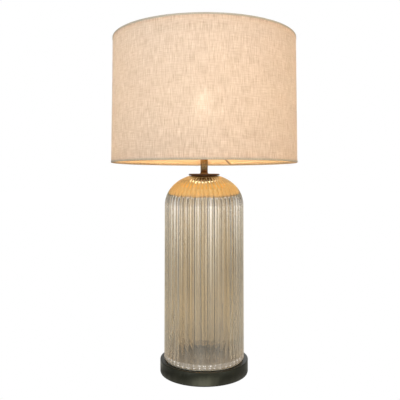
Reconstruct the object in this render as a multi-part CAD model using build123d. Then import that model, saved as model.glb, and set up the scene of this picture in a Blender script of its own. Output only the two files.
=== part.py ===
"""Table lamp with a reeded glass body, a round metal base and a straight linen drum shade.

Millimetres. z = 0 is the table top, +Z is up, the front is -Y, and the lamp's axis is x = y = 0.
Each function makes one kind of piece in its place; the list at the end writes them out.
"""

from build123d import *
import os
from math import acos, cos, pi, radians, sin

# ---- fits -------------------------------------------------------------------------------------
SNUG = 0.05  # radial clearance of a close fit
LOOSE = 0.3  # gap between neighbours that don't bear on each other
HIDDEN_SIDES = 36  # flats round a turned piece that is out of sight
SMALL_SIDES = 12  # flats round a screw head or a wire

# ---- base -------------------------------------------------------------------------------------
BASE_R = 84.3
PAD_THICKNESS = 1.4
PAD_INSET = 0.7
SHELL_HEIGHT = 24.0
SHELL_WALL = 1.5
SHELL_EDGE = 1.0  # bevel round the top edge
WEIGHT_WEB = 8.5  # iron left between the pocket and the shell's top
WEIGHT_POCKET_R = 21.0
CHANNEL_WIDTH = 16.0
CHANNEL_DEPTH = 15.0

# ---- cord inlet -------------------------------------------------------------------------------
GROMMET_Z = 9.5
GROMMET_BORE_R = 3.4
GROMMET_NECK_R = 4.6
GROMMET_FLANGE_R = 6.4
GROMMET_FLANGE = 1.2

# ---- threaded tube and its hardware -----------------------------------------------------------
TUBE_R = 5.0
TUBE_BORE_R = 3.6
TUBE_HOLE_R = 5.25  # clearance hole for the tube in metal pieces
TUBE_BELOW_NUT = 2.0
TUBE_PAST_BOSS = 1.0
NUT_ACROSS = 17.0
NUT_HEIGHT = 5.0
WASHER_R = 16.0
WASHER_THICKNESS = 1.5

# ---- glass body -------------------------------------------------------------------------------
GASKET_THICKNESS = 0.8
GLASS_FOOT_R = 76.5  # over the reeds' crests
GLASS_SHOULDER_R = 75.0
GLASS_SHOULDER_Z = 318.0
GLASS_WALL = 5.0  # behind the valleys between reeds
REEDS = 48
REED_DEPTH = 1.2
REED_SHOULDER = 0.28  # where a reed's crest begins, as a share of its width
DOME_RISE = 61.0  # from the shoulder to where the dome would close
DOME_ROWS = 5
CROWN_R = 28.5  # ground flat on top of the dome
CROWN_THICKNESS = 5.5
CROWN_HOLE_R = 13.0

# ---- crown and neck ---------------------------------------------------------------------------
CROWN_GASKET_R = 25.0
CROWN_GASKET = 0.8
CAP_R = 29.25
CAP_THICKNESS = 3.2
CAP_EDGE = 0.6
COLLAR_R = 7.8
COLLAR_HEIGHT = 2.0
NECK_R = 7.0
NECK_LENGTH = 32.0

# ---- lampholder -------------------------------------------------------------------------------
HOLDER_BOSS_R = 10.0
HOLDER_BOSS_HEIGHT = 5.0
HOLDER_FLOOR_THICKNESS = 2.5
HOLDER_CAP_R = 22.5
HOLDER_CAP_HEIGHT = 23.6
HOLDER_LEDGE = 2.0  # width of the ledge that carries the insert
SKIRT_R = 19.8  # over the outside thread
SKIRT_WALL = 2.2
SKIRT_ABOVE_CAP = 25.6
SKIRT_IN_CAP = 6.0
SOCKET_RIM = 2.0  # thickness of the rim that narrows the skirt to the bulb's cap
INSERT_THICKNESS = 5.0
CONTACT_R = 3.5
CONTACT_HEIGHT = 3.2
SIDE_CONTACT = (4.0, 0.6, 10.0)
GRUB_SCREW_R = 2.0
TERMINAL_SCREW_R = 2.4
TERMINAL_SCREW_HEAD = 2.4
TERMINAL_SPACING = 20.0

# ---- shade ring and gimbal --------------------------------------------------------------------
GIMBAL_R = 26.0
GIMBAL_THICKNESS = 1.6
GIMBAL_PLAY = 0.8  # radial play of the gimbal on the skirt
SHADE_RING_R = 26.5
SHADE_RING_HEIGHT = 4.5
SHADE_RING_SIDES = 16

# ---- bulb -------------------------------------------------------------------------------------
BULB_R = 30.0
BULB_LIGHT_CENTRE = 75.0  # from the end contact to the middle of the globe
BULB_CAP_R = 13.1
BULB_CAP_TOP = 25.4  # above the end contact
BULB_NECK_R = 12.6
BULB_NECK = 5.0  # straight glass above the cap
BULB_SIDES = 24
BULB_ROWS = 8
BULB_LOWEST_ANGLE = -42.0  # where the globe turns into the neck
BULB_TOP_ANGLE = 86.0
BULB_GLASS = 0.9
STEM_R = 5.5
STEM_HEIGHT = 16.0
BURNER_R = 5.5
BURNER_HEIGHT = 24.0
SUPPORT_R = 0.7
SUPPORT_SPACING = 7.0
BULB_CONTACT_R = 4.5
BULB_CONTACT = 1.4
BULB_INSULATOR_R = 11.0
BULB_INSULATOR = 3.0

# ---- shade ------------------------------------------------------------------------------------
SHADE_BOTTOM_R = 175.0
SHADE_TOP_R = 170.7
SHADE_LOW_Z = 398.7
SHADE_HEIGHT = 229.6
SHADE_SIDES = 60  # flats of the rolled sheet, within 0.25 mm of the circle
TRIM_THICKNESS = 0.5
TRIM_HEIGHT = 5.0
COVER_THICKNESS = 0.8
LINER_THICKNESS = 0.5
RING_WIDTH = 2.4
RING_HEIGHT = 3.2
RING_INSET = 2.0  # from the shade's rim to the ring
ARM_COUNT = 3
ARM_FIRST_SIDE = 11
ARM_WIDTH = 5.0
ARM_THICKNESS = 1.6
ARM_FLAT_AT_GIMBAL = 16.0
ARM_FLAT_AT_RING = 12.0
ARM_BEND_R = 10.0

# ---- heights that follow from the stack ---------------------------------------------------------
BASE_TOP = PAD_THICKNESS + SHELL_HEIGHT
SHELL_CEILING = BASE_TOP - SHELL_WALL
POCKET_CEILING = SHELL_CEILING - WEIGHT_WEB
GLASS_FOOT_Z = BASE_TOP + GASKET_THICKNESS
CROWN_ANGLE = acos(CROWN_R / GLASS_SHOULDER_R)
CROWN_Z = GLASS_SHOULDER_Z + DOME_RISE * sin(CROWN_ANGLE)
CROWN_CEILING = CROWN_Z - CROWN_THICKNESS
CAP_LOW_Z = CROWN_Z + CROWN_GASKET
COLLAR_Z = CAP_LOW_Z + CAP_THICKNESS
NECK_Z = COLLAR_Z + COLLAR_HEIGHT
HOLDER_Z = NECK_Z + NECK_LENGTH
HOLDER_CUP_Z = HOLDER_Z + HOLDER_BOSS_HEIGHT
HOLDER_FLOOR = HOLDER_CUP_Z + HOLDER_FLOOR_THICKNESS
HOLDER_RIM = HOLDER_Z + HOLDER_CAP_HEIGHT
SKIRT_LOW_Z = HOLDER_RIM - SKIRT_IN_CAP
SKIRT_TOP = HOLDER_RIM + SKIRT_ABOVE_CAP
INSERT_Z = SKIRT_LOW_Z - INSERT_THICKNESS
GIMBAL_Z = HOLDER_RIM
SHADE_RING_Z = GIMBAL_Z + GIMBAL_THICKNESS
BULB_Z = SKIRT_LOW_Z + CONTACT_HEIGHT + LOOSE
SHADE_TOP_Z = SHADE_LOW_Z + SHADE_HEIGHT

ON_BASE = (Align.CENTER, Align.CENTER, Align.MIN)


def rod(radius, low_z, high_z):
    """A round bar about the lamp's axis."""
    return Pos(0, 0, low_z) * Cylinder(radius, high_z - low_z, align=ON_BASE)


def sleeve(outer_r, bore_r, low_z, high_z):
    """A round ring or tube about the lamp's axis."""
    return rod(outer_r, low_z, high_z) - rod(bore_r, low_z, high_z)


def turned(points):
    """A piece turned on the lathe from a closed outline of (radius, height) points."""
    outline = Plane.XZ * Polygon(*points, align=None)
    return revolve(outline, axis=Axis.Z)


def bar(radius, low_z, high_z, sides=HIDDEN_SIDES):
    """A many-sided bar about the lamp's axis, for round pieces that are out of sight."""
    return Pos(0, 0, low_z) * extrude(RegularPolygon(radius, sides), high_z - low_z)


def hollow_bar(outer_r, bore_r, low_z, high_z, sides=HIDDEN_SIDES):
    return bar(outer_r, low_z, high_z, sides) - bar(bore_r, low_z, high_z)


def panelled(stations, sides):
    """A convex solid of flat panels through rings of corners, given as (corner radius, height)."""
    turns = [2 * pi * side / sides for side in range(sides)]
    corners = [(r * cos(turn), r * sin(turn), z) for r, z in stations for turn in turns]
    return ConvexPolyhedron(corners)


# ---- base -------------------------------------------------------------------------------------
def base_pad():
    return rod(BASE_R - PAD_INSET, 0, PAD_THICKNESS)


def base_shell():
    """A spun cup, open below, with the tube's hole on top and the grommet's hole at the back."""
    inner_r = BASE_R - SHELL_WALL
    cup = turned(
        [
            (TUBE_HOLE_R, SHELL_CEILING),
            (inner_r, SHELL_CEILING),
            (inner_r, PAD_THICKNESS),
            (BASE_R, PAD_THICKNESS),
            (BASE_R, BASE_TOP - SHELL_EDGE),
            (BASE_R - SHELL_EDGE, BASE_TOP),
            (TUBE_HOLE_R, BASE_TOP),
        ]
    )
    return cup - towards_back(GROMMET_NECK_R + SNUG, inner_r - SHELL_WALL, BASE_R + SHELL_WALL)


def towards_back(radius, near_y, far_y):
    """A round bar along +Y at the height of the cord inlet."""
    along_z = Cylinder(radius, far_y - near_y, align=ON_BASE)
    return Pos(0, near_y, GROMMET_Z) * Rot(-90, 0, 0) * along_z


def base_weight():
    """Iron casting that fills the shell, with a pocket for the nut and a channel for the cord."""
    weight_r = BASE_R - SHELL_WALL - LOOSE
    casting = hollow_bar(weight_r, TUBE_HOLE_R, PAD_THICKNESS, SHELL_CEILING, SHADE_SIDES)
    pocket = bar(WEIGHT_POCKET_R, PAD_THICKNESS, POCKET_CEILING)
    channel = Pos(0, 0, PAD_THICKNESS) * Box(
        CHANNEL_WIDTH, BASE_R, CHANNEL_DEPTH, align=(Align.CENTER, Align.MIN, Align.MIN)
    )
    return casting - pocket - channel


def cord_grommet():
    """Rubber grommet pressed into the shell's wall from outside."""
    inner_y = BASE_R - SHELL_WALL
    neck = towards_back(GROMMET_NECK_R, inner_y, BASE_R)
    flange = towards_back(GROMMET_FLANGE_R, BASE_R, BASE_R + GROMMET_FLANGE)
    return neck + flange - towards_back(GROMMET_BORE_R, inner_y, BASE_R + GROMMET_FLANGE)


# ---- threaded tube, nuts and washers ------------------------------------------------------------
def washer_heights():
    """Low faces of the washers: under the weight, on the base, and under the glass crown."""
    return [POCKET_CEILING - WASHER_THICKNESS, BASE_TOP, CROWN_CEILING - WASHER_THICKNESS]


def nut_heights():
    """Low faces of the nuts, each against its washer."""
    low, seat, crown = washer_heights()
    return [low - NUT_HEIGHT, seat + WASHER_THICKNESS, crown - NUT_HEIGHT]


def tube_washers():
    heights = washer_heights()
    return Compound([hollow_bar(WASHER_R, TUBE_HOLE_R, z, z + WASHER_THICKNESS) for z in heights])


def tube_nuts():
    bore = RegularPolygon(TUBE_R + SNUG, HIDDEN_SIDES)
    hexagon = RegularPolygon(NUT_ACROSS / 2, 6, major_radius=False) - bore
    return Compound([Pos(0, 0, z) * extrude(hexagon, NUT_HEIGHT) for z in nut_heights()])


def threaded_tube():
    low_z = nut_heights()[0] - TUBE_BELOW_NUT
    return sleeve(TUBE_R, TUBE_BORE_R, low_z, HOLDER_FLOOR + TUBE_PAST_BOSS)


# ---- glass body -------------------------------------------------------------------------------
def reed_outline(crest_r, z):
    """Closed outline of reeds with three flats each. Every outline is the same shape at its own scale."""
    valley_r = crest_r * (1 - REED_DEPTH / GLASS_FOOT_R)
    corners = []
    for reed in range(REEDS):
        for share, r in ((0, valley_r), (REED_SHOULDER, crest_r), (1 - REED_SHOULDER, crest_r)):
            turn = 2 * pi * (reed + share) / REEDS
            corners.append((r * cos(turn), r * sin(turn), z))
    return Wire.make_polygon(corners, close=True)


def dome_stations(shoulder_r, rise):
    """(radius, height) up a quarter ellipse, from the shoulder to the ground crown."""
    angles = [CROWN_ANGLE * row / DOME_ROWS for row in range(DOME_ROWS + 1)]
    return [(shoulder_r * cos(a), GLASS_SHOULDER_Z + rise * sin(a)) for a in angles]


def glass_body():
    """Reeds run up the wall and converge over the dome; the inside has one flat behind each reed."""
    outside = [(GLASS_FOOT_R, GLASS_FOOT_Z)] + dome_stations(GLASS_SHOULDER_R, DOME_RISE)
    skin = Solid.make_loft([reed_outline(r, z) for r, z in outside], ruled=True)

    inset = REED_DEPTH + GLASS_WALL
    inner_rise = (CROWN_CEILING - GLASS_SHOULDER_Z) / sin(CROWN_ANGLE)
    inside = [(GLASS_FOOT_R - inset, GLASS_FOOT_Z)]
    inside += dome_stations(GLASS_SHOULDER_R - inset, inner_rise)
    return skin - panelled(inside, REEDS) - rod(CROWN_HOLE_R, CROWN_CEILING, CROWN_Z)


def glass_gasket():
    """Rubber ring under the foot, with one flat for each reed."""
    outer_r = GLASS_FOOT_R - REED_DEPTH - LOOSE
    outer = panelled([(outer_r, BASE_TOP), (outer_r, GLASS_FOOT_Z)], REEDS)
    inner_r = outer_r - GLASS_WALL
    return outer - panelled([(inner_r, BASE_TOP), (inner_r, GLASS_FOOT_Z)], REEDS)


# ---- crown and neck ---------------------------------------------------------------------------
def crown_bush():
    """Rubber bush that centres the tube in the glass."""
    return hollow_bar(CROWN_HOLE_R - SNUG, TUBE_R + SNUG, CROWN_CEILING, CAP_LOW_Z)


def crown_gasket():
    """Rubber washer round the bush, between the ground crown and the cap disc."""
    return hollow_bar(CROWN_GASKET_R, CROWN_HOLE_R, CROWN_Z, CAP_LOW_Z)


def cap_disc():
    return turned(
        [
            (TUBE_HOLE_R, CAP_LOW_Z),
            (CAP_R, CAP_LOW_Z),
            (CAP_R, COLLAR_Z - CAP_EDGE),
            (CAP_R - CAP_EDGE, COLLAR_Z),
            (TUBE_HOLE_R, COLLAR_Z),
        ]
    )


def neck_collar():
    return sleeve(COLLAR_R, TUBE_HOLE_R, COLLAR_Z, NECK_Z)


def neck_tube():
    return sleeve(NECK_R, TUBE_HOLE_R, NECK_Z, HOLDER_Z)


# ---- lampholder -------------------------------------------------------------------------------
def holder_cap():
    """Metal cup screwed on the tube's end, with a ledge inside that carries the insert."""
    mouth_r = SKIRT_R + SNUG
    boss = sleeve(HOLDER_BOSS_R, TUBE_R + SNUG, HOLDER_Z, HOLDER_CUP_Z)
    boss -= grub_screw_bar(GRUB_SCREW_R + SNUG, HOLDER_BOSS_R)
    floor = bar(HOLDER_CAP_R, HOLDER_CUP_Z, HOLDER_FLOOR) - rod(TUBE_R + SNUG, HOLDER_CUP_Z, HOLDER_FLOOR)
    ledge = hollow_bar(HOLDER_CAP_R, mouth_r - HOLDER_LEDGE, HOLDER_FLOOR, INSERT_Z)
    return boss + floor + ledge + hollow_bar(HOLDER_CAP_R, mouth_r, INSERT_Z, HOLDER_RIM)


def grub_screw_bar(radius, far_y):
    """A round bar through the back of the boss, up to the tube's side."""
    near_y = TUBE_R + SNUG
    screw = Cylinder(radius, far_y - near_y, align=ON_BASE)
    return Pos(0, near_y, HOLDER_Z + HOLDER_BOSS_HEIGHT / 2) * Rot(-90, 0, 0) * screw


def holder_grub_screw():
    return grub_screw_bar(GRUB_SCREW_R, HOLDER_BOSS_R)


def holder_insert():
    """Porcelain disc clamped between the cap's ledge and the skirt."""
    return bar(SKIRT_R, INSERT_Z, SKIRT_LOW_Z)


def holder_skirt():
    """Outside thread for the shade ring, closed in by a rim to the width of the bulb's cap."""
    socket_r = BULB_CAP_R + LOOSE
    tube = hollow_bar(SKIRT_R, SKIRT_R - SKIRT_WALL, SKIRT_LOW_Z, SKIRT_TOP - SOCKET_RIM)
    return tube + hollow_bar(SKIRT_R, socket_r, SKIRT_TOP - SOCKET_RIM, SKIRT_TOP)


def holder_contact():
    """Sprung centre contact under the bulb."""
    return bar(CONTACT_R, SKIRT_LOW_Z, SKIRT_LOW_Z + CONTACT_HEIGHT, BULB_SIDES)


def holder_side_contact():
    width, thickness, height = SIDE_CONTACT
    tongue = Box(width, thickness, height, align=(Align.CENTER, Align.MIN, Align.MIN))
    return Pos(0, BULB_CAP_R + LOOSE, SKIRT_LOW_Z) * tongue


def terminal_screws():
    """Two screw heads under the insert."""
    low_z = INSERT_Z - TERMINAL_SCREW_HEAD
    head = bar(TERMINAL_SCREW_R, low_z, INSERT_Z, SMALL_SIDES)
    return Compound([Pos(side * TERMINAL_SPACING / 2, 0, 0) * head for side in (-1, 1)])


# ---- shade ring and gimbal --------------------------------------------------------------------
def shade_ring():
    """Screws down on the skirt and clamps the gimbal; its edge has flats for the fingers."""
    body = extrude(RegularPolygon(SHADE_RING_R, SHADE_RING_SIDES), SHADE_RING_HEIGHT)
    top_z = SHADE_RING_Z + SHADE_RING_HEIGHT
    return Pos(0, 0, SHADE_RING_Z) * body - bar(SKIRT_R + SNUG, SHADE_RING_Z, top_z)


def gimbal_ring():
    body = extrude(RegularPolygon(GIMBAL_R, SHADE_SIDES), GIMBAL_THICKNESS)
    return Pos(0, 0, GIMBAL_Z) * body - bar(SKIRT_R + GIMBAL_PLAY, GIMBAL_Z, SHADE_RING_Z)


# ---- bulb -------------------------------------------------------------------------------------
def bulb_form(shrink):
    """A straight neck on the cap, a flare, then a globe, all this much inside the bulb's outline."""
    neck_r = BULB_NECK_R - shrink
    neck_z = BULB_Z + BULB_CAP_TOP
    centre_z = BULB_Z + BULB_LIGHT_CENTRE
    globe = []
    for row in range(BULB_ROWS + 1):
        angle = radians(BULB_LOWEST_ANGLE + (BULB_TOP_ANGLE - BULB_LOWEST_ANGLE) * row / BULB_ROWS)
        globe.append(((BULB_R - shrink) * cos(angle), centre_z + (BULB_R - shrink) * sin(angle)))
    neck = panelled([(neck_r, neck_z), (neck_r, neck_z + BULB_NECK)], BULB_SIDES)
    flare = panelled([(neck_r, neck_z + BULB_NECK), globe[0]], BULB_SIDES)
    return neck + flare + panelled(globe, BULB_SIDES)


def bulb_envelope():
    """Thin glass, closed below by the cap."""
    return bulb_form(0) - bulb_form(BULB_GLASS)


def bulb_stem():
    """Glass stem that stands on the cap and carries the burner's wires."""
    low_z = BULB_Z + BULB_CAP_TOP
    return bar(STEM_R, low_z, low_z + STEM_HEIGHT, BULB_SIDES)


def bulb_supports():
    wire = bar(SUPPORT_R, BULB_Z + BULB_CAP_TOP + STEM_HEIGHT, burner_low_z(), SMALL_SIDES)
    return Compound([Pos(side * SUPPORT_SPACING / 2, 0, 0) * wire for side in (-1, 1)])


def burner_low_z():
    return BULB_Z + BULB_LIGHT_CENTRE - BURNER_HEIGHT / 2


def bulb_burner():
    """Quartz capsule in the middle of the globe, where the light comes from."""
    return bar(BURNER_R, burner_low_z(), burner_low_z() + BURNER_HEIGHT, BULB_SIDES)


def bulb_cap():
    return bar(BULB_CAP_R, BULB_Z + BULB_CONTACT + BULB_INSULATOR, BULB_Z + BULB_CAP_TOP, BULB_SIDES)


def bulb_insulator():
    low_z = BULB_Z + BULB_CONTACT
    return bar(BULB_INSULATOR_R, low_z, low_z + BULB_INSULATOR, BULB_SIDES)


def bulb_contact():
    return bar(BULB_CONTACT_R, BULB_Z, BULB_Z + BULB_CONTACT, BULB_SIDES)


# ---- shade ------------------------------------------------------------------------------------
def shade_radius(z):
    """Outer radius of the drum at a height, over the trim tape."""
    return SHADE_BOTTOM_R + (SHADE_TOP_R - SHADE_BOTTOM_R) * (z - SHADE_LOW_Z) / SHADE_HEIGHT


def drum(inset, thickness, low_z, high_z):
    """A band of the drum's wall, this far in from its outer face, as flat panels."""
    outer_r = [shade_radius(z) - inset for z in (low_z, high_z)]
    outer = panelled([(outer_r[0], low_z), (outer_r[1], high_z)], SHADE_SIDES)
    inner = panelled([(outer_r[0] - thickness, low_z), (outer_r[1] - thickness, high_z)], SHADE_SIDES)
    return outer - inner


def shade_cover():
    return drum(TRIM_THICKNESS, COVER_THICKNESS, SHADE_LOW_Z, SHADE_TOP_Z)


def shade_liner():
    return drum(TRIM_THICKNESS + COVER_THICKNESS, LINER_THICKNESS, SHADE_LOW_Z, SHADE_TOP_Z)


def bottom_trim():
    return drum(0, TRIM_THICKNESS, SHADE_LOW_Z, SHADE_LOW_Z + TRIM_HEIGHT)


def top_trim():
    return drum(0, TRIM_THICKNESS, SHADE_TOP_Z - TRIM_HEIGHT, SHADE_TOP_Z)


def ring_outer_r(low_z):
    """The ring fits inside the liner where that is narrowest over the ring's height."""
    narrowest = min(shade_radius(low_z), shade_radius(low_z + RING_HEIGHT))
    return narrowest - TRIM_THICKNESS - COVER_THICKNESS - LINER_THICKNESS - SNUG


def shade_wire_ring(low_z):
    outer_r = ring_outer_r(low_z)
    band = RegularPolygon(outer_r, SHADE_SIDES) - RegularPolygon(outer_r - RING_WIDTH, SHADE_SIDES)
    return Pos(0, 0, low_z) * extrude(band, RING_HEIGHT)


def bottom_ring():
    return shade_wire_ring(SHADE_LOW_Z + RING_INSET)


def top_ring():
    return shade_wire_ring(SHADE_TOP_Z - RING_INSET - RING_HEIGHT)


def spider_arm(number):
    """Bent strip from the gimbal's edge down to a flat of the bottom ring, welded at both ends."""
    ring_z = SHADE_LOW_Z + RING_INSET + RING_HEIGHT / 2
    ring_corner_r = ring_outer_r(SHADE_LOW_Z + RING_INSET) - RING_WIDTH
    ring_flat_r = ring_corner_r * cos(pi / SHADE_SIDES)
    gimbal_flat_r = GIMBAL_R * cos(pi / SHADE_SIDES)
    gimbal_z = GIMBAL_Z + GIMBAL_THICKNESS / 2
    route = FilletPolyline(
        (gimbal_flat_r, 0, gimbal_z),
        (gimbal_flat_r + ARM_FLAT_AT_GIMBAL, 0, gimbal_z),
        (ring_flat_r - ARM_FLAT_AT_RING, 0, ring_z),
        (ring_flat_r, 0, ring_z),
        radius=ARM_BEND_R,
    )
    section = Plane(origin=route @ 0, x_dir=(0, 1, 0), z_dir=route % 0) * Rectangle(ARM_WIDTH, ARM_THICKNESS)
    side = ARM_FIRST_SIDE + number * SHADE_SIDES / ARM_COUNT
    middle_of_side = (2 * side + 1) * 180 / SHADE_SIDES
    return Rot(0, 0, middle_of_side) * sweep(section, path=route)


PIECES = {
    "base_pad": base_pad,
    "base_shell": base_shell,
    "base_weight": base_weight,
    "cord_grommet": cord_grommet,
    "tube_washers": tube_washers,
    "tube_nuts": tube_nuts,
    "threaded_tube": threaded_tube,
    "glass_gasket": glass_gasket,
    "glass_body": glass_body,
    "crown_bush": crown_bush,
    "crown_gasket": crown_gasket,
    "cap_disc": cap_disc,
    "neck_collar": neck_collar,
    "neck_tube": neck_tube,
    "holder_cap": holder_cap,
    "holder_grub_screw": holder_grub_screw,
    "holder_insert": holder_insert,
    "holder_skirt": holder_skirt,
    "holder_contact": holder_contact,
    "holder_side_contact": holder_side_contact,
    "terminal_screws": terminal_screws,
    "shade_ring": shade_ring,
    "gimbal_ring": gimbal_ring,
    "bulb_envelope": bulb_envelope,
    "bulb_stem": bulb_stem,
    "bulb_supports": bulb_supports,
    "bulb_burner": bulb_burner,
    "bulb_cap": bulb_cap,
    "bulb_insulator": bulb_insulator,
    "bulb_contact": bulb_contact,
    "shade_cover": shade_cover,
    "shade_liner": shade_liner,
    "bottom_trim": bottom_trim,
    "top_trim": top_trim,
    "bottom_ring": bottom_ring,
    "top_ring": top_ring,
}

os.makedirs("parts", exist_ok=True)
for name, make in PIECES.items():
    export_step(make(), f"parts/{name}.step")
for arm in range(ARM_COUNT):
    export_step(spider_arm(arm), f"parts/spider_arm_{arm + 1}.step")
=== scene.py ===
"""Looks for the reeded-glass table lamp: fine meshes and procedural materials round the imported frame.

Meshes are built in millimetres. Materials, stage, lights and camera are in metres.
"""

import bpy
import math
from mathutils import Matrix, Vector


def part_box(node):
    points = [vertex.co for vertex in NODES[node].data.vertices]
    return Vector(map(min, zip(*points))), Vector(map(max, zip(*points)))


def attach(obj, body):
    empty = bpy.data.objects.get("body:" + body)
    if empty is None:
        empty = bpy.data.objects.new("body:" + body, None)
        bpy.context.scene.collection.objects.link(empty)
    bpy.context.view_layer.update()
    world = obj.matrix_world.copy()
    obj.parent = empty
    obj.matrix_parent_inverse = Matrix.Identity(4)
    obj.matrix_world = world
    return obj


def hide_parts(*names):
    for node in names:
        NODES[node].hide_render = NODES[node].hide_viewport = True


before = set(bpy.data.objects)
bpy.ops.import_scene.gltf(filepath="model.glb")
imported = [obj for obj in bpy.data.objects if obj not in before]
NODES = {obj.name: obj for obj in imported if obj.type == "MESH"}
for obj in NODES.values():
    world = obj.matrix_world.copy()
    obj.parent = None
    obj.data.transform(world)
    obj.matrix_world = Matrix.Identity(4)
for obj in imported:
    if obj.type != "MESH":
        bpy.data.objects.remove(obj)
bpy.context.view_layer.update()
MM = 0.001
TAU = 2 * math.pi


# ---- reading the frame --------------------------------------------------------------------------
def span(node):
    """(outer radius, low z, high z) of a node about the lamp's axis."""
    low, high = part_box(node)
    return max(high.x, -low.x) / MM, low.z / MM, high.z / MM


# ---- mesh building ------------------------------------------------------------------------------
CRISP_DEGREES = 35
HEM_CRISP_DEGREES = 50
BEVEL_DEGREES = 30
BEVEL_SEGMENTS = 2
WELD_M = 1e-6


def clamp(value):
    return min(1.0, max(0.0, value))


def steps_round(count):
    """Angles of that many equal steps about the axis."""
    return [TAU * step / count for step in range(count)]


def level_ring(r, z, turns):
    return [(r * math.cos(t), r * math.sin(t), z) for t in turns]


def add_mesh(name, verts, faces, smooth=True):
    mesh = bpy.data.meshes.new(name)
    mesh.from_pydata([Vector(v) * MM for v in verts], [], faces)
    mesh.polygons.foreach_set("use_smooth", [smooth] * len(mesh.polygons))
    mesh.update()
    piece = bpy.data.objects.new(name, mesh)
    bpy.context.scene.collection.objects.link(piece)
    return piece


def rings_mesh(name, rings, cloth_r=None):
    """Closed skin through rings of equally many points, the last joined to the first.
    cloth_r gives it UVs in metres, round a circle of that radius and along the first column."""
    columns = len(rings[0])
    verts = [point for ring in rings for point in ring]
    faces, uvs = [], []
    along = [0.0]
    for before, after in zip(rings, rings[1:] + rings[:1]):
        along.append(along[-1] + (Vector(after[0]) - Vector(before[0])).length)
    for row in range(len(rings)):
        low, high = row * columns, (row + 1) % len(rings) * columns
        for column in range(columns):
            after = (column + 1) % columns
            faces.append((low + column, low + after, high + after, high + column))
            if cloth_r:
                left, right = (TAU * c / columns * cloth_r * MM for c in (column, column + 1))
                low_v, high_v = along[row] * MM, along[row + 1] * MM
                uvs += [left, low_v, right, low_v, right, high_v, left, high_v]
    piece = add_mesh(name, verts, faces)
    if cloth_r:
        piece.data.uv_layers.new(name="cloth").data.foreach_set("uv", uvs)
    return piece


def lathe(name, outline, segments):
    """Turned piece from a closed outline of (radius, height) that runs anticlockwise."""
    turns = steps_round(segments)
    return rings_mesh(name, [level_ring(r, z, turns) for r, z in outline])


def paint_rows(piece, materials_by_row, columns):
    """Material indices for a skin of rings, one for each row of faces, once its materials are on it."""
    by_face = [index for index in materials_by_row for _ in range(columns)]
    piece.data.polygons.foreach_set("material_index", by_face)


def sharpen(piece, degrees=CRISP_DEGREES):
    """Smooth shading that keeps edges over this angle crisp."""
    with bpy.context.temp_override(object=piece, active_object=piece, selected_objects=[piece],
                                   selected_editable_objects=[piece]):
        bpy.ops.object.shade_smooth_by_angle(angle=math.radians(degrees))


def soften(node, width):
    """A CAD node keeps its mesh and gets a fine bevel that catches the light."""
    piece = NODES[node]
    piece.data.polygons.foreach_set("use_smooth", [True] * len(piece.data.polygons))
    weld = piece.modifiers.new("weld", "WELD")
    weld.merge_threshold = WELD_M
    bevel = piece.modifiers.new("bevel", "BEVEL")
    bevel.width = width * MM
    bevel.segments = BEVEL_SEGMENTS
    bevel.limit_method = "ANGLE"
    bevel.angle_limit = math.radians(BEVEL_DEGREES)
    bevel.use_clamp_overlap = True
    bevel.harden_normals = True
    return piece


def dress(piece, *materials):
    piece.data.materials.clear()
    for material in materials:
        piece.data.materials.append(material)


def finish_piece(piece, materials, slot, body, *nodes):
    """Give a new piece its materials and body, in place of the CAD nodes named. slot is not used."""
    dress(piece, *materials)
    if nodes:
        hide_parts(*nodes)
    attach(piece, body)


# ---- node building ------------------------------------------------------------------------------
class Nodes:
    """Short ways to add, set and join the nodes of one tree."""

    def __init__(self, tree):
        self.tree = tree

    def node(self, kind, **settings):
        node = self.tree.nodes.new("ShaderNode" + kind)
        for key, value in settings.items():
            setattr(node, key, value)
        return node

    def feed(self, socket, value):
        """Link another node's output to the socket, or set a number or colour on the socket itself."""
        if isinstance(value, bpy.types.NodeSocket):
            self.tree.links.new(value, socket)
        elif hasattr(socket.default_value, "__len__"):
            socket.default_value = (*value, 1.0)[: len(socket.default_value)]
        else:
            socket.default_value = value

    def shader(self, kind, **inputs):
        node = self.node(kind)
        for key, value in inputs.items():
            self.feed(node.inputs[key], value)
        return node.outputs[0]

    def maths(self, operation, *values):
        node = self.node("Math", operation=operation)
        for socket, value in zip(node.inputs, values):
            self.feed(socket, value)
        return node.outputs["Value"]

    def plus(self, a, b):
        return self.maths("ADD", a, b)

    def minus(self, a, b):
        return self.maths("SUBTRACT", a, b)

    def times(self, a, b):
        return self.maths("MULTIPLY", a, b)

    def larger(self, a, b):
        return self.maths("MAXIMUM", a, b)

    def between(self, fac, first, second):
        """The colour from first to second as fac goes from 0 to 1."""
        node = self.node("Mix", data_type="RGBA")
        colours = [socket for socket in node.inputs if socket.type == "RGBA"]
        self.feed(colours[0], first)
        self.feed(colours[1], second)
        self.feed(node.inputs["Factor"], fac)
        return [socket for socket in node.outputs if socket.type == "RGBA"][0]

    def ramp(self, value, stops):
        """Colours along value, from (place, grey level or colour) stops."""
        node = self.node("ValToRGB")
        bands = node.color_ramp.elements
        while len(bands) < len(stops):
            bands.new(0.5)
        for band, (place, _) in zip(bands, stops):
            band.position = place
        for band, (_, level) in zip(bands, stops):
            band.color = (*level, 1) if isinstance(level, tuple) else (level, level, level, 1)
        self.feed(node.inputs["Fac"], value)
        return node.outputs["Color"]


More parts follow.
